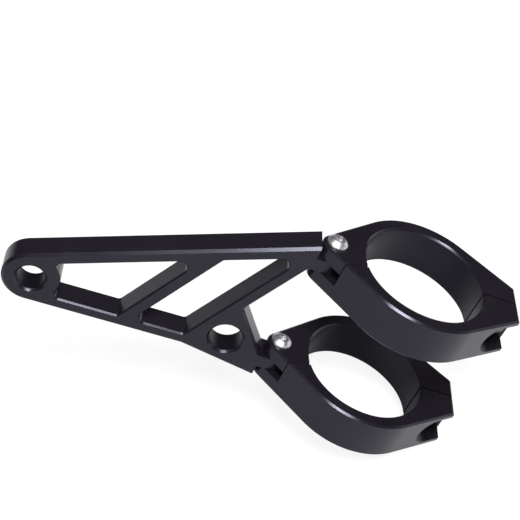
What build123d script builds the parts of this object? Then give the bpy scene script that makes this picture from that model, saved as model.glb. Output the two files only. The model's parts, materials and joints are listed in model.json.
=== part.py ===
from build123d import *
import os
from math import asin, atan2, cos, radians, sin, tan

os.makedirs("parts", exist_ok=True)

# Headlight mounting bracket for a leaning fork tube. All sizes in millimetres.
# The origin is on the fork axis at mid height of the upper clamp.
# X runs back along the top edge of the arm, Z is up, the arm's mid plane is Y = 0.

# Fork and clamps
fork_diameter = 46.0
fork_lean_deg = 25.0
clamp_height = 16.0
clamp_spacing = 50.4
ring_wall = 5.4
ring_chamfer = 0.7
pinch_reach = 8.2
pinch_half_width = 9.0
pinch_gap = 1.0
parting_deg = 17.5
parting_gap = 0.4
pinch_screw_inset = 6.0
pocket_clearance = 1.15
pocket_seat = 3.5

# Arm
plate_thickness = 10.0
tip_radius = 10.6
bar_width = 4.8
headlight_hole_diameter = 10.5
indicator_hole_diameter = 12.5
arm_reach = 108.43
tip_drop = 8.62
indicator_ahead = 8.34
indicator_rise = 18.44
lower_end_deg = 33.5
lower_end_run = 24.87
leg_foot_inset = 0.35
strut_deg = 37.0
rear_window_width = 16.76
upper_leg_drop = 10.12
notch_ahead = 0.98
leg_reach_u = -6.0
front_chamfer = 1.0
back_chamfer = 0.3
window_chamfer = 0.6
hole_chamfer = 0.8
acute_corner = 2.5
blunt_corner = 1.6
notch_corner = 1.5
relief_radius = 0.3

# Hinge
tongue_side_gap = 0.1
tongue_end_gap = 1.05
leg_end_gap = 0.45
tongue_root = 3.0

# Screws
hinge_screw_diameter = 4.0
hinge_head_diameter = 7.6
hinge_head_height = 2.6
hinge_hex = 2.5
hinge_hex_depth = 1.3
pinch_screw_diameter = 5.0
pinch_screw_length = 16.0
pinch_head_diameter = 9.5
pinch_head_height = 2.75
pinch_hex = 3.0
pinch_hex_depth = 1.6
running_clearance = 0.05
pass_clearance = 0.25
thread_clearance = 0.03
tip_bevel = 0.4

# Derived sizes
bore_radius = fork_diameter / 2
ring_radius = bore_radius + ring_wall
ear_radius = plate_thickness / 2
hinge_offset = ring_radius + tongue_end_gap + ear_radius
pinch_end = ring_radius + pinch_reach
pinch_screw_at = pinch_end - pinch_screw_inset
pocket_radius = pinch_head_diameter / 2 + pocket_clearance
half_height = clamp_height / 2
third = clamp_height / 3
lean = radians(fork_lean_deg)
fork_axis = (sin(lean), 0, cos(lean))
across_axis = (cos(lean), 0, -sin(lean))
far = 80.0


def clamp_plane(drop):
    # Plane across the fork, drop millimetres down the fork from the origin
    at = (-drop * fork_axis[0], 0, -drop * fork_axis[2])
    return Plane(origin=at, x_dir=across_axis, z_dir=fork_axis)


def hinge_point(drop, u, a):
    # Point of the X-Z plane: u across and a up the hinge axis from the clamp's top face
    along = half_height - drop + a
    across = u - hinge_offset
    x = across * across_axis[0] + along * fork_axis[0]
    z = across * across_axis[2] + along * fork_axis[2]
    return (x, z)


def corners_at(points):
    # Corners of the sketch in hand that are nearest to the given points
    return [vertices().sort_by_distance(Vector(p[0], p[1], 0))[0] for p in points]


def crossing(slope_1, base_1, slope_2, base_2):
    # Crossing of two lines z = base + slope * x
    x = (base_2 - base_1) / (slope_1 - slope_2)
    return (x, base_1 + slope_1 * x)


# Arm outline, written from the headlight hole
hinge_top = hinge_point(0, 0, 0)
tip_x = hinge_top[0] - arm_reach
tip_z = hinge_top[1] - tip_drop


def from_tip(drop, u, a):
    point = hinge_point(drop, u, a)
    return (point[0] - tip_x, point[1] - tip_z)


# Upper leg and the struts in front of it
leg_end_u = -(ear_radius + leg_end_gap)
rise = cos(lean) / sin(lean)
top_a = from_tip(0, leg_end_u, 0)
top_end = (top_a[0] + (tip_radius - top_a[1]) / rise, tip_radius)
upper_foot = from_tip(0, leg_end_u, -upper_leg_drop)
strut_angle = radians(strut_deg)
strut_slope = tan(strut_angle)
strut_step = bar_width / cos(strut_angle)
notch_base = upper_foot[1] - strut_slope * upper_foot[0]
second_strut_at = notch_base + strut_step
w2_left_base = second_strut_at + rear_window_width / cos(strut_angle)
first_strut_at = w2_left_base + strut_step

# Lower leg, its inner edge and the end of the lower edge
lower_foot = from_tip(clamp_spacing, leg_end_u, leg_foot_inset - clamp_height)
low_end_base = lower_foot[1] - rise * lower_foot[0]
notch_x = lower_foot[0] - notch_ahead
notch_point = (notch_x, notch_base + strut_slope * notch_x)
leg_reach = from_tip(clamp_spacing, leg_reach_u, -third)
inner_slope = (leg_reach[1] - notch_point[1]) / (leg_reach[0] - notch_point[0])
inner_base = notch_point[1] - inner_slope * notch_point[0]
lower_shoulder = crossing(inner_slope, inner_base, rise, low_end_base)
end_slope = -tan(radians(lower_end_deg))
bend = (lower_foot[0] - lower_end_run, lower_foot[1] - end_slope * lower_end_run)
indicator_at = (lower_foot[0] - indicator_ahead, lower_foot[1] + indicator_rise)

# Lower edge, which leaves the round tip as a tangent
bend_distance = (bend[0] ** 2 + bend[1] ** 2) ** 0.5
low_angle = atan2(-bend[1], bend[0]) - asin(tip_radius / bend_distance)
low_slope = -tan(low_angle)
low_base = -tip_radius / cos(low_angle)
tip_low = (-tip_radius * sin(low_angle), -tip_radius * cos(low_angle))

# Windows, one bar width inside the outline
win_top = tip_radius - bar_width
win_low_base = low_base + bar_width / cos(low_angle)
w1_right = crossing(strut_slope, first_strut_at, 0, win_top)
w1_low = crossing(strut_slope, first_strut_at, low_slope, win_low_base)
w1_arc_top = ((tip_radius**2 - win_top**2) ** 0.5, win_top)
arc_half = 1 + low_slope**2
arc_mid = low_slope * win_low_base
arc_rest = win_low_base**2 - tip_radius**2
w1_arc_x = (-arc_mid + (arc_mid**2 - arc_half * arc_rest) ** 0.5) / arc_half
w1_arc_low = (w1_arc_x, win_low_base + low_slope * w1_arc_x)
w2_top_left = crossing(strut_slope, w2_left_base, 0, win_top)
w2_top_right = crossing(strut_slope, second_strut_at, 0, win_top)
w2_low_left = crossing(strut_slope, w2_left_base, low_slope, win_low_base)
w2_low_right = crossing(strut_slope, second_strut_at, low_slope, win_low_base)

plate_plane = Plane(origin=(tip_x, plate_thickness / 2, tip_z), x_dir=(1, 0, 0), z_dir=(0, -1, 0))
tongue_height = third - 2 * tongue_side_gap
tongue_bore_radius = hinge_screw_diameter / 2 + running_clearance

with BuildPart() as arm:
    # Plate with its two legs
    with BuildSketch(plate_plane):
        with BuildLine():
            Polyline((0, tip_radius), top_end, upper_foot, notch_point, lower_shoulder,
                     lower_foot, bend, tip_low)
            ThreePointArc(tip_low, (-tip_radius, 0), (0, tip_radius))
        make_face()
        fillet(corners_at([notch_point]), notch_corner)
    extrude(amount=plate_thickness)
    side = plate_thickness / 2 - 0.01
    rim = [edge for edge in arm.edges() if abs((edge % 0.5).dot(Vector(*fork_axis))) < 0.999]
    chamfer([edge for edge in rim if edge.center().Y < -side], front_chamfer)
    rim = [edge for edge in arm.edges() if abs((edge % 0.5).dot(Vector(*fork_axis))) < 0.999]
    chamfer([edge for edge in rim if edge.center().Y > side], back_chamfer)

    # Hinge tongues, rounded about the hinge axis
    for drop in (0, clamp_spacing):
        with BuildSketch(clamp_plane(drop)):
            with Locations((-hinge_offset + leg_end_u / 2 - tongue_root / 2, 0)):
                Rectangle(-leg_end_u + tongue_root, plate_thickness)
            with Locations((-hinge_offset, 0)):
                Circle(ear_radius)
        extrude(amount=tongue_height / 2, both=True)
        with BuildSketch(clamp_plane(drop)):
            with Locations((-hinge_offset, 0)):
                Circle(tongue_bore_radius)
        extrude(amount=half_height, both=True, mode=Mode.SUBTRACT)

    # Rounded inner corners where each tongue leaves its leg
    for drop in (0, clamp_spacing):
        for level in (tongue_height / 2, -tongue_height / 2):
            root = clamp_plane(drop).from_local_coords(Vector(leg_end_u - hinge_offset, 0, level))
            across_plate = arm.edges().filter_by(Axis.Y)
            fillet(across_plate.sort_by_distance(root)[0], relief_radius)

    # First window, its left wall follows the round tip
    with BuildSketch(plate_plane):
        with BuildLine():
            Polyline(w1_arc_top, w1_right, w1_low, w1_arc_low)
            ThreePointArc(w1_arc_low, (tip_radius, 0), w1_arc_top)
        make_face()
        fillet(corners_at([w1_right]), acute_corner)
        fillet(corners_at([w1_arc_top, w1_low, w1_arc_low]), blunt_corner)
    extrude(amount=plate_thickness, mode=Mode.SUBTRACT)

    # Second window between the struts
    with BuildSketch(plate_plane):
        with BuildLine():
            Polyline(w2_top_left, w2_top_right, w2_low_right, w2_low_left, close=True)
        make_face()
        fillet(corners_at([w2_top_right, w2_low_left]), acute_corner)
        fillet(corners_at([w2_top_left, w2_low_right]), blunt_corner)
    extrude(amount=plate_thickness, mode=Mode.SUBTRACT)
    walls = [face.inner_wires() for face in arm.faces() if abs(face.center().Y) > side]
    window_rim = [edge for wires in walls for wire in wires for edge in wire.edges()]
    chamfer(window_rim, window_chamfer)

    # Headlight hole and indicator hole
    for spot, size in (((0, 0), headlight_hole_diameter), (indicator_at, indicator_hole_diameter)):
        with BuildSketch(plate_plane):
            with Locations(spot):
                Circle(size / 2)
        extrude(amount=plate_thickness, mode=Mode.SUBTRACT)
    hole_rim = [edge for edge in arm.edges().filter_by(GeomType.CIRCLE)
                if abs(edge.center().Y) > side and edge.is_closed]
    chamfer(hole_rim, hole_chamfer)
arm.part.label = "arm"
export_step(arm.part, "parts/arm.step")

# Clamp halves. The rear half carries the top ear, the front half the bottom ear,
# and the tongue turns in the open middle third between them.
ear_step = half_height - third
half_pinch = pinch_gap / 2
part_angle = radians(parting_deg)
part_x = -far * cos(part_angle)
part_y = far * sin(part_angle)
part_shift = parting_gap / cos(part_angle)
hinge_tap_radius = hinge_screw_diameter / 2 + thread_clearance
pinch_pass_radius = pinch_screw_diameter / 2 + pass_clearance
pinch_tap_radius = pinch_screw_diameter / 2 + thread_clearance

for name, drop in (("upper", 0), ("lower", clamp_spacing)):
    across = clamp_plane(drop)
    centre = across.origin
    toward_front = Plane(origin=centre, x_dir=across_axis, z_dir=(0, -1, 0))

    for half in ("rear", "front"):
        # side is +1 for the rear half and -1 for the front half, whose ear is at the other face
        side = 1 if half == "rear" else -1
        with BuildPart() as clamp_half:
            # Ring with hinge ear and pinch block, edges broken all round
            with BuildSketch(across):
                with BuildLine():
                    CenterArc((0, 0), ring_radius, 0, 360)
                    CenterArc((-hinge_offset, 0), ear_radius, 0, 360)
                    Line((pinch_end, -pinch_half_width), (pinch_end, pinch_half_width))
                make_hull()
            extrude(amount=half_height, both=True)
            with BuildSketch(across):
                Circle(bore_radius)
            extrude(amount=half_height, both=True, mode=Mode.SUBTRACT)
            flats = clamp_half.faces().filter_by(Axis((0, 0, 0), fork_axis))
            chamfer(flats.edges(), ring_chamfer)

            # Everything on the other side of the parting goes, less of it beside the own ear
            ear_low = ear_step if side > 0 else -half_height
            rest_low = -half_height if side > 0 else -ear_step
            with BuildSketch(across.offset(ear_low)):
                Polygon((far, side * half_pinch), (bore_radius / 2, side * half_pinch), (0, side * part_shift),
                        (part_x, side * (part_shift - part_y)), (-far, -side * far), (far, -side * far),
                        align=None)
            extrude(amount=third, mode=Mode.SUBTRACT)
            with BuildSketch(across.offset(rest_low)):
                Polygon((far, side * half_pinch), (bore_radius / 2, side * half_pinch), (0, 0),
                        (part_x, side * part_y), (-far, -side * far), (far, -side * far), align=None)
            extrude(amount=2 * third, mode=Mode.SUBTRACT)

            # Straight wall beside the ear, so that the half slips over the tube
            with BuildSketch(across.offset(ear_low)):
                with Locations((-bore_radius / 2, -side * bore_radius / 4)):
                    Rectangle(bore_radius, bore_radius / 2)
            extrude(amount=third, mode=Mode.SUBTRACT)

            # Hinge hole: clear in the top ear, tapped in the bottom ear
            with BuildSketch(across):
                with Locations((-hinge_offset, 0)):
                    Circle(tongue_bore_radius if side > 0 else hinge_tap_radius)
            extrude(amount=half_height, both=True, mode=Mode.SUBTRACT)

            # Pinch hole: tapped in the rear half, clear in the front half below the head pocket
            with BuildSketch(toward_front):
                with Locations((pinch_screw_at, 0)):
                    Circle(pinch_tap_radius if side > 0 else pinch_pass_radius)
            extrude(amount=far, both=True, mode=Mode.SUBTRACT)
            if half == "front":
                with BuildSketch(toward_front.offset(pocket_seat)):
                    with Locations((pinch_screw_at, 0)):
                        Circle(pocket_radius)
                    with Locations((pinch_screw_at + far / 2, 0)):
                        Rectangle(far, 2 * pocket_radius)
                extrude(amount=far, mode=Mode.SUBTRACT)
        node = name + "_clamp_" + half + "_half"
        clamp_half.part.label = node
        export_step(clamp_half.part, "parts/" + node + ".step")

    # Hinge screw, button head on the top ear
    with BuildPart() as hinge_screw:
        head_plane = Plane(origin=across.from_local_coords(Vector(-hinge_offset, 0, half_height)),
                           x_dir=across_axis, z_dir=fork_axis)
        with BuildSketch(head_plane):
            Circle(hinge_head_diameter / 2)
        extrude(amount=hinge_head_height)
        dome = hinge_screw.faces().sort_by(Axis((0, 0, 0), fork_axis))[-1]
        fillet(dome.edges(), hinge_head_height - tip_bevel)
        with BuildSketch(head_plane):
            Circle(hinge_screw_diameter / 2)
        extrude(amount=-clamp_height)
        foot = hinge_screw.faces().sort_by(Axis((0, 0, 0), fork_axis))[0]
        chamfer(foot.edges(), tip_bevel)
        with BuildSketch(head_plane.offset(hinge_head_height)):
            RegularPolygon(hinge_hex / 2, 6, major_radius=False)
        extrude(amount=-hinge_hex_depth, mode=Mode.SUBTRACT)
    node = name + "_hinge_screw"
    hinge_screw.part.label = node
    export_step(hinge_screw.part, "parts/" + node + ".step")

    # Pinch screw, button head in the pocket of the front half
    with BuildPart() as pinch_screw:
        seat_at = across.from_local_coords(Vector(pinch_screw_at, -pocket_seat, 0))
        seat_plane = Plane(origin=seat_at, x_dir=across_axis, z_dir=(0, -1, 0))
        with BuildSketch(seat_plane):
            Circle(pinch_head_diameter / 2)
        extrude(amount=pinch_head_height)
        crown = pinch_screw.faces().sort_by(Axis.Y)[0]
        fillet(crown.edges(), pinch_head_height - tip_bevel)
        with BuildSketch(seat_plane):
            Circle(pinch_screw_diameter / 2)
        extrude(amount=-pinch_screw_length)
        foot = pinch_screw.faces().sort_by(Axis.Y)[-1]
        chamfer(foot.edges(), tip_bevel)
        with BuildSketch(seat_plane.offset(pinch_head_height)):
            RegularPolygon(pinch_hex / 2, 6, major_radius=False)
        extrude(amount=-pinch_hex_depth, mode=Mode.SUBTRACT)
    node = name + "_pinch_screw"
    pinch_screw.part.label = node
    export_step(pinch_screw.part, "parts/" + node + ".step")
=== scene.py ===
import json
import math

import bpy
from mathutils import Matrix, Quaternion, Vector


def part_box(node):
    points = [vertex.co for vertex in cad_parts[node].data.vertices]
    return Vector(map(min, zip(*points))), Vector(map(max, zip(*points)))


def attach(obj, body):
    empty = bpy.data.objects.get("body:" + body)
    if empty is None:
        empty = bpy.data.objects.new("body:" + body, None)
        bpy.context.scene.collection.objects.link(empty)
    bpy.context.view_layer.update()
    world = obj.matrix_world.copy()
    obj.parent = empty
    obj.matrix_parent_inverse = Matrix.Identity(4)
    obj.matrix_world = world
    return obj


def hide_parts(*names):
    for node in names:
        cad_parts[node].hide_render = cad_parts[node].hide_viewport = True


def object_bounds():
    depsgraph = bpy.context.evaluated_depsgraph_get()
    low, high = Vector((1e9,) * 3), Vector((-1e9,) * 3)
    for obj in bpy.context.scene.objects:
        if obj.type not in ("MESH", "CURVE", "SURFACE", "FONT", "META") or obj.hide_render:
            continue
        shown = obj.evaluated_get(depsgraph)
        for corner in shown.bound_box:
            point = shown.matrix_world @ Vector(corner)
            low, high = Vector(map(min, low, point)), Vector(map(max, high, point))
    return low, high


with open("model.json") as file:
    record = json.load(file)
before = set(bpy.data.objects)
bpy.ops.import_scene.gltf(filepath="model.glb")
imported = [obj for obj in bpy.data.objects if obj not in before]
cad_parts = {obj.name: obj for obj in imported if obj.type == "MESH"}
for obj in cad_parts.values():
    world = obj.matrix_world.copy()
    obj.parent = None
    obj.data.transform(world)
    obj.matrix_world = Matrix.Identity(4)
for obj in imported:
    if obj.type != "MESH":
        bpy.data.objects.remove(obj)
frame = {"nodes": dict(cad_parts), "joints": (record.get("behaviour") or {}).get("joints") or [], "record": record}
cad_low, cad_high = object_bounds()

mm = 0.001

# Camera, at the photograph's viewing angle
view_from = Vector((-31.741, -386.657, 328.739)) * mm
view_to = Vector((-55.174, 1.308, 14.201)) * mm
view_roll_deg = -3.428
lens_mm = 97.99
sensor_mm = 36.0

# Holes and swivels of the bracket
mounts = {mount["name"]: mount for mount in frame["record"]["mounts"]}
fork_axis = Vector(mounts["upper_fork_clamp"]["axis"])
swivels = {joint["child"]: joint for joint in frame["joints"]}
pocket_opens = Vector((0, -1, 0))

# Screws, in millimetres
half_clamp = 8.0
hinge_sizes = {"head": 7.6, "rise": 2.32, "hex": 2.5, "socket": 1.9, "shank": 4.0,
               "length": 16.0, "pitch": 0.7, "plain": 10.6}
pinch_sizes = {"head": 9.5, "rise": 2.65, "hex": 3.0, "socket": 1.6, "shank": 5.0,
               "length": 16.0, "pitch": 0.8, "plain": 2.4}
rim_round = 0.15
rim_height = 0.75
shoulder_inset = 0.14
shoulder_rise = 0.3
shoulder_turn_deg = 45.0
shoulder_steps = 5
crown_share = 0.62
crown_turn_deg = 12.0
crown_steps = 10
mouth_bevel = 0.1
socket_cone = 0.5
tip_bevel = 0.4
thread_depth_share = 0.55
ridge_share = 0.62
columns = 72
spiral_points = 32
ridge_sides = 3
sharp_deg = 32.0

# Noise of the finishes, in waves per metre
fine_detail = 3.0
soft_detail = 2.0
wear_waves = 420.0
cloud_waves = 60.0
grain_waves = 4200.0
handled_waves = 900.0

# Black anodised finish
# Painted shade: the first colour is for the walls of the holes, darker because shade falls inside them
painted_hole_shade = (0.0026, 0.0013, 0.0036, 1)
black_base = (0.0076, 0.0057, 0.0091, 1)
worn_base = (0.040, 0.037, 0.042, 1)
blue_sheen = (0.80, 0.83, 1.0, 1)
anodised_ior = 1.38
black_at = 0.1
edge_radius = 0.08 * mm
edge_samples = 6
edge_begins = 0.995
edge_full = 0.93
wear_begins = 0.45
wear_full = 0.70
wear_most = 0.35
cloud_low = 0.35
cloud_high = 0.65
cloud_paler = 0.04
satin_smooth = 0.212
satin_rough = 0.232
recess_rougher = 0.20
grain_strength = 0.04
grain_depth = 0.02 * mm

# Holes with a duller wall and painted shade inside
pocket_radius = 5.9 * mm
wall_ends = 0.1 * mm
wall_gone = 0.25 * mm
whole_hole = 1.0

# Turned steel of the screws, its rings in waves per millimetre from the axis
stainless_base = (0.68, 0.67, 0.68, 1)
stainless_smooth = 0.34
stainless_rough = 0.44
oxide_base = (0.012, 0.012, 0.013, 1)
oxide_smooth = 0.34
oxide_rough = 0.46
ring_waves = 9.0
groove_strength = 0.08
groove_depth = 0.02 * mm
handled_low = 0.12
handled_high = 0.42

# Paper floor, in metres
floor_size = 6.0
floor_drop = 0.4 * mm
paper_white = (0.92, 0.92, 0.92, 1)
shadow_paper = (0.2, 0.2, 0.2, 1)
near_glow = 0.88
white_begins = 0.3
white_full = 1.2
# Painted light on the mirrored paper: painted shade towards the front, paler towards the right
slant_share = 0.8
far_front = -0.11
near_right = 0.04
front_paleness = 0.62
right_paleness = 0.92
# Painted shadow on the mirrored paper inside the lower clamp
painted_shadow_paleness = 0.2
painted_shadow_radius = 0.012
painted_shadow_ends = 0.030
far_begins = 0.2
far_full = 0.7
far_strength = 0.45

# Room, by the height at which each wall begins or ends
pale_wall = (0.9, 0.9, 0.9, 1)
dim_wall = (0.05, 0.048, 0.055, 1)
upper_wall = (0.18, 0.17, 0.2, 1)
pale_ends = 0.22
dim_ends = 0.40
upper_begins = 0.62
white = (1, 1, 1, 1)

# Softboxes, in metres and watts
key_place = Vector((0.105, -0.54, 0.828))
key_aim = Vector((-0.02, 0, 0))
key_size = 0.36
key_power = 16.4
low_place = Vector((0.247, -0.665, 0.656))
low_aim = Vector((-0.10, 0, 0))
low_size = 0.12
low_power = 1.1


def add_node(tree, kind, settings=None, **sockets):
    # One node: its settings by name, then the values of its sockets
    node = tree.nodes.new(kind)
    for name, value in (settings or {}).items():
        setattr(node, name, value)
    for name, value in sockets.items():
        node.inputs[name.replace("_", " ")].default_value = value
    return node


def fresh_tree(holder, output_kind):
    # Empty node tree of a material or world, with its output's surface
    holder.use_nodes = True
    tree = holder.node_tree
    tree.nodes.clear()
    return tree, tree.nodes.new(output_kind).inputs["Surface"]


def fresh_finish(name):
    material = bpy.data.materials.new(name)
    tree, surface = fresh_tree(material, "ShaderNodeOutputMaterial")
    shader = tree.nodes.new("ShaderNodeBsdfPrincipled")
    tree.links.new(shader.outputs["BSDF"], surface)
    return material, tree, shader


def object_place(tree):
    return tree.nodes.new("ShaderNodeTexCoord").outputs["Object"]


def noise_at(tree, waves, detail):
    # Noise that stays with the piece
    noise = add_node(tree, "ShaderNodeTexNoise", Scale=waves, Detail=detail)
    tree.links.new(object_place(tree), noise.inputs["Vector"])
    return noise.outputs["Fac"]


def remap(tree, source, low, high, to_low, to_high):
    spread = add_node(tree, "ShaderNodeMapRange", From_Min=low, From_Max=high,
                      To_Min=to_low, To_Max=to_high)
    tree.links.new(source, spread.inputs["Value"])
    return spread.outputs["Result"]


def combine(tree, operation, first, second):
    sums = add_node(tree, "ShaderNodeMath", {"operation": operation})
    tree.links.new(first, sums.inputs[0])
    tree.links.new(second, sums.inputs[1])
    return sums.outputs[0]


def measure(tree, operation, source, fixed=None):
    # Vector measure of a linked source, against a fixed vector where one is given
    maths = add_node(tree, "ShaderNodeVectorMath", {"operation": operation})
    tree.links.new(source, maths.inputs[0])
    if fixed is not None:
        maths.inputs[1].default_value = fixed
    return maths.outputs


def add_shaders(tree, first, second):
    both = tree.nodes.new("ShaderNodeAddShader")
    tree.links.new(first.outputs[0], both.inputs[0])
    tree.links.new(second.outputs[0], both.inputs[1])
    return both


def mix_shaders(tree, share, first, second):
    mixed = tree.nodes.new("ShaderNodeMixShader")
    tree.links.new(share, mixed.inputs["Fac"])
    tree.links.new(first.outputs[0], mixed.inputs[1])
    tree.links.new(second.outputs[0], mixed.inputs[2])
    return mixed


def edge_mask(tree, rounded):
    # 1 where the rounded normal leaves the face's own, which is along the edges
    own = tree.nodes.new("ShaderNodeNewGeometry")
    agree = add_node(tree, "ShaderNodeVectorMath", {"operation": "DOT_PRODUCT"})
    tree.links.new(rounded, agree.inputs[0])
    tree.links.new(own.outputs["Normal"], agree.inputs[1])
    return remap(tree, agree.outputs["Value"], edge_begins, edge_full, 0.0, 1.0)


def recess_mask(tree, centre, axis, radius, behind):
    # 1 on the wall of a hole of that radius round the axis, fading out just past it.
    # It ends at the distance behind the centre.
    offset = measure(tree, "SUBTRACT", object_place(tree), centre)["Vector"]
    lever = measure(tree, "CROSS_PRODUCT", offset, axis)["Vector"]
    reach = measure(tree, "LENGTH", lever)["Value"]
    wall = remap(tree, reach, radius + wall_ends, radius + wall_gone, 1.0, 0.0)
    along = measure(tree, "DOT_PRODUCT", offset, axis)["Value"]
    ahead = remap(tree, along, -behind - wall_ends, -behind, 0.0, 1.0)
    return combine(tree, "MULTIPLY", wall, ahead)


def make_anodised(name, recesses):
    material, tree, shader = fresh_finish(name)
    shader.inputs["IOR"].default_value = anodised_ior
    shader.inputs["Specular Tint"].default_value = blue_sheen

    # Walls of the holes, where the cutter leaves the surface duller, with painted shade that darkens their colour
    dull_and_shaded_wall = recess_mask(tree, *recesses[0])
    for recess in recesses[1:]:
        dull_and_shaded_wall = combine(tree, "MAXIMUM", dull_and_shaded_wall, recess_mask(tree, *recess))

    # Edges softened by the tumbler, with the dye rubbed thin in places
    soft_edge = add_node(tree, "ShaderNodeBevel", {"samples": edge_samples}, Radius=edge_radius)
    wear = noise_at(tree, wear_waves, fine_detail)
    patchy = remap(tree, wear, wear_begins, wear_full, 0.0, wear_most)
    rubbed = combine(tree, "MULTIPLY", edge_mask(tree, soft_edge.outputs["Normal"]), patchy)
    cloud = noise_at(tree, cloud_waves, soft_detail)
    cloudy = remap(tree, cloud, cloud_low, cloud_high, 0.0, cloud_paler)
    uneven = combine(tree, "ADD", rubbed, cloudy)
    # Painted shade: the walls of the holes take the darkest colour of the ramp
    paler = combine(tree, "ADD", uneven, remap(tree, dull_and_shaded_wall, 0.0, 1.0, black_at, 0.0))
    dye_and_hole_shade = tree.nodes.new("ShaderNodeValToRGB")
    dye_and_hole_shade.color_ramp.elements[0].color = painted_hole_shade
    dye_and_hole_shade.color_ramp.elements[1].color = worn_base
    dye_and_hole_shade.color_ramp.elements.new(black_at).color = black_base
    tree.links.new(paler, dye_and_hole_shade.inputs["Fac"])
    tree.links.new(dye_and_hole_shade.outputs["Color"], shader.inputs["Base Color"])

    # Satin sheen that varies a little, over a fine blasted grain
    satin = remap(tree, cloud, cloud_low, cloud_high, satin_smooth, satin_rough)
    rougher = combine(tree, "ADD", satin, remap(tree, dull_and_shaded_wall, 0.0, 1.0, 0.0, recess_rougher))
    tree.links.new(rougher, shader.inputs["Roughness"])
    grain = add_node(tree, "ShaderNodeBump", Strength=grain_strength, Distance=grain_depth)
    tree.links.new(noise_at(tree, grain_waves, fine_detail), grain.inputs["Height"])
    tree.links.new(soft_edge.outputs["Normal"], grain.inputs["Normal"])
    tree.links.new(grain.outputs["Normal"], shader.inputs["Normal"])
    return material


def make_turned_steel(name, base, metallic, smooth, rough):
    # Steel with the fine rings that turning leaves, which follow each screw's own axis
    material, tree, shader = fresh_finish(name)
    shader.inputs["Base Color"].default_value = base
    shader.inputs["Metallic"].default_value = metallic
    from_axis = add_node(tree, "ShaderNodeAttribute", {"attribute_name": "from_axis"})
    rings = add_node(tree, "ShaderNodeTexNoise", {"noise_dimensions": "1D"},
                     Scale=ring_waves, Detail=fine_detail)
    tree.links.new(from_axis.outputs["Fac"], rings.inputs["W"])
    groove = add_node(tree, "ShaderNodeBump", Strength=groove_strength, Distance=groove_depth)
    tree.links.new(rings.outputs["Fac"], groove.inputs["Height"])
    tree.links.new(groove.outputs["Normal"], shader.inputs["Normal"])
    handled = combine(tree, "MULTIPLY", rings.outputs["Fac"], noise_at(tree, handled_waves, soft_detail))
    polish = remap(tree, handled, handled_low, handled_high, smooth, rough)
    tree.links.new(polish, shader.inputs["Roughness"])
    return material


def arc_rows(start, end, turn_deg, steps):
    # Rows of a round stretch from start to end, which turns by turn_deg on the way
    turn = math.radians(turn_deg)
    chord = Vector(end) - Vector(start)
    heading = math.atan2(chord.y, chord.x)
    radius = chord.length / (2 * math.sin(turn / 2))
    rows = []
    for step in range(steps + 1):
        share = step / steps
        reach = 2 * radius * math.sin(turn * share / 2)
        angle = heading - turn / 2 * (1 - share)
        rows.append((start[0] + reach * math.cos(angle), start[1] + reach * math.sin(angle), False))
    return rows


def thread_core(sizes):
    return sizes["shank"] / 2 - thread_depth_share * sizes["pitch"]


def screw_rows(sizes):
    # Profile of a button-head screw from its tip to the bottom of its socket.
    # Each row is a radius, a height over the seat and whether it is six-sided.
    rim = sizes["head"] / 2
    rise = sizes["rise"]
    tip = -sizes["length"]
    shank = sizes["shank"] / 2
    core = thread_core(sizes)
    flat = rim * crown_share
    corner = sizes["hex"] / math.sqrt(3)
    apothem = sizes["hex"] / 2
    foot = rise - sizes["socket"]
    shoulder = (rim - shoulder_inset, rim_height + shoulder_rise)
    rows = [(0, tip, False), (core - tip_bevel, tip, False), (core, tip + tip_bevel, False)]
    rows += [(core, -sizes["plain"] - sizes["pitch"], False), (shank, -sizes["plain"], False)]
    rows += [(shank, 0, False), (rim - rim_round, 0, False), (rim, rim_round, False)]
    rows += arc_rows((rim, rim_height), shoulder, shoulder_turn_deg, shoulder_steps)
    rows += arc_rows(shoulder, (flat, rise - mouth_bevel), crown_turn_deg, crown_steps)[1:]
    rows += [(flat - mouth_bevel, rise, False), (corner + mouth_bevel, rise, False)]
    rows += [(apothem, rise - mouth_bevel, True), (apothem, foot, True), (0, foot - socket_cone, False)]
    return rows


def reach_at(radius, six_sided, angle):
    if not six_sided:
        return radius
    sixth = math.radians(60)
    return radius / math.cos(angle % sixth - sixth / 2)


def turned_mesh(name, rows):
    # Closed mesh round the Z axis, with a pole at each end
    points = [(0, 0, rows[0][1] * mm)]
    for radius, height, six_sided in rows[1:-1]:
        for column in range(columns):
            angle = math.tau * column / columns
            reach = reach_at(radius, six_sided, angle)
            points.append((reach * math.cos(angle) * mm, reach * math.sin(angle) * mm, height * mm))
    points.append((0, 0, rows[-1][1] * mm))
    last = len(points) - 1
    top = last - columns
    faces = []
    for column in range(columns):
        beside = (column + 1) % columns
        faces.append((0, 1 + beside, 1 + column))
        for start in range(1, top, columns):
            above = start + columns
            faces.append((start + column, start + beside, above + beside, above + column))
        faces.append((top + column, top + beside, last))
    mesh = bpy.data.meshes.new(name)
    mesh.from_pydata(points, [], faces)
    return mesh


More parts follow.
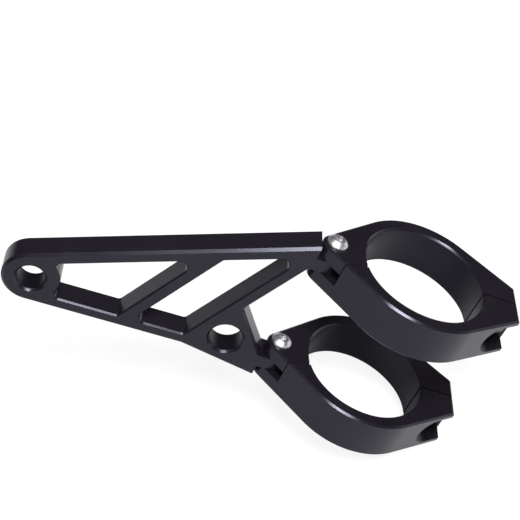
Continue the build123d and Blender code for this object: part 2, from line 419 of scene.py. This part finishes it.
def make_thread_tree():
    # Winds a ridge round a turned screw, one turn for each pitch
    tree = bpy.data.node_groups.new("wound_thread", "GeometryNodeTree")
    sockets = (("Screw", "NodeSocketGeometry"), ("Core radius", "NodeSocketFloat"),
               ("Ridge", "NodeSocketFloat"), ("Turns", "NodeSocketFloat"), ("Height", "NodeSocketFloat"),
               ("Lowest", "NodeSocketVector"), ("Finish", "NodeSocketMaterial"))
    for name, kind in sockets:
        tree.interface.new_socket(name, in_out="INPUT", socket_type=kind)
    tree.interface.new_socket("Screw", in_out="OUTPUT", socket_type="NodeSocketGeometry")
    given = tree.nodes.new("NodeGroupInput").outputs
    spiral = add_node(tree, "GeometryNodeCurveSpiral", Resolution=spiral_points)
    upright = add_node(tree, "GeometryNodeSetCurveNormal", {"mode": "Z_UP"})
    ridge = add_node(tree, "GeometryNodeCurvePrimitiveCircle", {"mode": "RADIUS"}, Resolution=ridge_sides)
    sweep = add_node(tree, "GeometryNodeCurveToMesh", Fill_Caps=True)
    lower = tree.nodes.new("GeometryNodeTransform")
    both = tree.nodes.new("GeometryNodeJoinGeometry")
    solid = tree.nodes.new("GeometryNodeRealizeInstances")
    finish = tree.nodes.new("GeometryNodeSetMaterial")
    made = tree.nodes.new("NodeGroupOutput").inputs
    tree.links.new(given["Turns"], spiral.inputs["Rotations"])
    tree.links.new(given["Core radius"], spiral.inputs["Start Radius"])
    tree.links.new(given["Core radius"], spiral.inputs["End Radius"])
    tree.links.new(given["Height"], spiral.inputs["Height"])
    tree.links.new(given["Ridge"], ridge.inputs["Radius"])
    tree.links.new(spiral.outputs["Curve"], upright.inputs["Curve"])
    tree.links.new(upright.outputs["Curve"], sweep.inputs["Curve"])
    tree.links.new(ridge.outputs["Curve"], sweep.inputs["Profile Curve"])
    tree.links.new(sweep.outputs["Mesh"], lower.inputs["Geometry"])
    tree.links.new(given["Lowest"], lower.inputs["Translation"])
    tree.links.new(given["Screw"], both.inputs["Geometry"])
    tree.links.new(lower.outputs["Geometry"], both.inputs["Geometry"])
    tree.links.new(both.outputs["Geometry"], solid.inputs["Geometry"])
    tree.links.new(solid.outputs["Geometry"], finish.inputs["Geometry"])
    tree.links.new(given["Finish"], finish.inputs["Material"])
    tree.links.new(finish.outputs["Geometry"], made["Screw"])
    return tree


def wind_thread(screw, tree, sizes, finish):
    # Runs the thread tree on the turned screw and keeps the result as a plain mesh
    pitch = sizes["pitch"]
    ridge = thread_depth_share * pitch * ridge_share
    lowest = -sizes["length"] + tip_bevel + pitch / 2
    turns = (-sizes["plain"] - pitch - lowest) / pitch
    values = {"Core radius": (thread_core(sizes) + ridge / 2) * mm, "Ridge": ridge * mm, "Turns": turns,
              "Height": turns * pitch * mm, "Lowest": (0, 0, lowest * mm), "Finish": finish}
    modifier = screw.modifiers.new("thread", "NODES")
    modifier.node_group = tree
    for socket in tree.interface.items_tree:
        if socket.in_out == "INPUT" and socket.name in values:
            modifier[socket.identifier] = values[socket.name]
    evaluated = screw.evaluated_get(bpy.context.evaluated_depsgraph_get())
    mesh = bpy.data.meshes.new_from_object(evaluated)
    screw.modifiers.clear()
    screw.data = mesh
    from_axis = mesh.attributes.new("from_axis", "FLOAT", "POINT")
    from_axis.data.foreach_set("value", [point.co.xy.length / mm for point in mesh.vertices])


def stand_at(seat, axis):
    # Matrix that stands a screw on its seat, its head towards axis
    sideways = Vector((0, 1, 0)) if abs(axis.y) < 0.5 else fork_axis
    across = sideways.cross(axis).normalized()
    turned = Matrix((across, axis.cross(across), axis)).transposed().to_4x4()
    return Matrix.Translation(seat) @ turned


def make_screw(node, body, sizes, seat, axis, tree, finish):
    screw = bpy.data.objects.new(node + "_piece", turned_mesh(node, screw_rows(sizes)))
    bpy.context.scene.collection.objects.link(screw)
    wind_thread(screw, tree, sizes, finish)
    mesh = screw.data
    mesh.transform(stand_at(seat, axis))
    mesh.shade_smooth()
    mesh.set_sharp_from_angle(angle=math.radians(sharp_deg))
    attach(screw, body)
    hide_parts(node)


def make_screws(bright, dark):
    tree = make_thread_tree()
    for side, swivel in (("upper", swivels["arm"]), ("lower", swivels["lower_clamp"])):
        body = side + "_clamp"
        axis = Vector(swivel["axis"])
        seat = Vector(swivel["pos_m"]) + axis * half_clamp * mm
        make_screw(side + "_hinge_screw", body, hinge_sizes, seat, axis,
                   tree, bright)
        low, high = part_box(side + "_pinch_screw")
        middle = (low + high) / 2
        seat = Vector((middle.x, high.y - pinch_sizes["length"] * mm, middle.z))
        make_screw(side + "_pinch_screw", body, pinch_sizes, seat, pocket_opens,
                   tree, dark)


def mounted_hole(name):
    mount = mounts[name]
    return Vector(mount["pos_m"]), Vector(mount["axis"]), mount["dims"]["r_mm"] * mm, whole_hole


def pinch_pocket(side):
    # The pocket in the front half only, from the middle of its screw outwards
    low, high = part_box(side + "_pinch_screw")
    return (low + high) / 2, pocket_opens, pocket_radius, 0.0


def dress_solids(arm_finish, clamp_finish):
    for name, node in frame["nodes"].items():
        node.data.materials.clear()
        node.data.materials.append(arm_finish if name == "arm" else clamp_finish)


def seen_paper(tree, away):
    # White, a little darker in the object's shadow and full white far off
    glow = tree.nodes.new("ShaderNodeEmission")
    whiter = remap(tree, away, white_begins, white_full, near_glow, 1.0)
    tree.links.new(whiter, glow.inputs["Strength"])
    return add_shaders(tree, glow, add_node(tree, "ShaderNodeBsdfDiffuse", Color=shadow_paper))


def mirrored_paper(tree, place, away):
    # Paper with painted shade towards the front, painted light towards the right, a painted shadow inside the
    # lower clamp, and a glow far off
    split = tree.nodes.new("ShaderNodeSeparateXYZ")
    tree.links.new(place, split.inputs[0])
    rightwards = add_node(tree, "ShaderNodeMath", {"operation": "MULTIPLY"})
    rightwards.inputs[1].default_value = slant_share
    tree.links.new(split.outputs["X"], rightwards.inputs[0])
    slant = combine(tree, "ADD", split.outputs["Y"], rightwards.outputs[0])
    # Painted light: paler towards the right, painted shade towards the front
    painted_falloff = remap(tree, slant, far_front, near_right, front_paleness, right_paleness)
    ring = Vector(mounts["lower_fork_clamp"]["pos_m"])
    from_ring = measure(tree, "DISTANCE", place, (ring.x, ring.y, 0))["Value"]
    # Painted shadow: the paper goes dark round the middle of the lower clamp
    painted_shadow = remap(tree, from_ring, painted_shadow_radius, painted_shadow_ends, painted_shadow_paleness, 1.0)
    paper = tree.nodes.new("ShaderNodeBsdfDiffuse")
    tree.links.new(combine(tree, "MULTIPLY", painted_falloff, painted_shadow), paper.inputs["Color"])
    glow = tree.nodes.new("ShaderNodeEmission")
    tree.links.new(remap(tree, away, far_begins, far_full, 0.0, far_strength), glow.inputs["Strength"])
    return add_shaders(tree, paper, glow)


def make_floor():
    # One paper for the camera, one for what mirrors in the part, white paper for other rays
    bpy.ops.mesh.primitive_plane_add(size=floor_size, location=(0, 0, cad_low.z - floor_drop))
    floor = bpy.context.object
    floor.name = "floor"
    material = bpy.data.materials.new("white_paper")
    tree, surface = fresh_tree(material, "ShaderNodeOutputMaterial")
    place = object_place(tree)
    away = measure(tree, "LENGTH", place)["Value"]
    ray = tree.nodes.new("ShaderNodeLightPath").outputs
    mirrors = combine(tree, "MAXIMUM", ray["Is Glossy Ray"], ray["Is Transmission Ray"])
    plain = add_node(tree, "ShaderNodeBsdfDiffuse", Color=paper_white)
    unseen = mix_shaders(tree, mirrors, plain, mirrored_paper(tree, place, away))
    paper = mix_shaders(tree, ray["Is Camera Ray"], unseen, seen_paper(tree, away))
    tree.links.new(paper.outputs[0], surface)
    floor.data.materials.append(material)


def make_room():
    # White behind the object; a dim room with a pale horizon lights it and mirrors in it
    world = bpy.data.worlds.new("room")
    bpy.context.scene.world = world
    tree, surface = fresh_tree(world, "ShaderNodeOutputWorld")
    place = tree.nodes.new("ShaderNodeTexCoord")
    split = tree.nodes.new("ShaderNodeSeparateXYZ")
    walls = tree.nodes.new("ShaderNodeValToRGB")
    ramp = walls.color_ramp.elements
    ramp[0].position = dim_ends
    ramp[0].color = dim_wall
    ramp[1].position = upper_begins
    ramp[1].color = upper_wall
    ramp.new(0.0).color = pale_wall
    ramp.new(pale_ends).color = dim_wall
    dim = tree.nodes.new("ShaderNodeBackground")
    backdrop = add_node(tree, "ShaderNodeBackground", Color=white)
    ray = tree.nodes.new("ShaderNodeLightPath").outputs
    tree.links.new(place.outputs["Generated"], split.inputs[0])
    tree.links.new(split.outputs["Z"], walls.inputs["Fac"])
    tree.links.new(walls.outputs["Color"], dim.inputs["Color"])
    room = mix_shaders(tree, ray["Is Camera Ray"], dim, backdrop)
    tree.links.new(room.outputs[0], surface)


def stand_aimed(name, data, place, aim, roll_deg=0.0):
    # Object of a lamp or camera, turned to its aim and rolled about that line
    aimed = bpy.data.objects.new(name, data)
    aimed.location = place
    aimed.rotation_mode = "QUATERNION"
    level = (aim - place).to_track_quat("-Z", "Y")
    aimed.rotation_quaternion = level @ Quaternion((0, 0, 1), math.radians(roll_deg))
    bpy.context.scene.collection.objects.link(aimed)
    return aimed


def make_softbox(name, place, aim, size, power):
    data = bpy.data.lights.new(name, "AREA")
    data.shape = "SQUARE"
    data.size = size
    data.energy = power
    stand_aimed(name, data, place, aim)


def make_camera():
    data = bpy.data.cameras.new("camera")
    data.lens = lens_mm
    data.sensor_width = sensor_mm
    bpy.context.scene.camera = stand_aimed("camera", data, view_from, view_to, view_roll_deg)


arm_holes = [mounted_hole("headlight_hole"), mounted_hole("indicator_hole")]

# Both clamps lie on the fork's axis, so one bore stands for the two
clamp_holes = [mounted_hole("upper_fork_clamp"), pinch_pocket("upper"), pinch_pocket("lower")]
dress_solids(make_anodised("black_arm", arm_holes), make_anodised("black_clamp", clamp_holes))
stainless = make_turned_steel("stainless", stainless_base, 1.0, stainless_smooth, stainless_rough)
black_oxide = make_turned_steel("black_oxide", oxide_base, 0.0, oxide_smooth, oxide_rough)
make_screws(stainless, black_oxide)
make_floor()
make_room()
make_softbox("key", key_place, key_aim, key_size, key_power)
make_softbox("low_key", low_place, low_aim, low_size, low_power)
make_camera()
bpy.context.scene.view_settings.view_transform = "Standard"
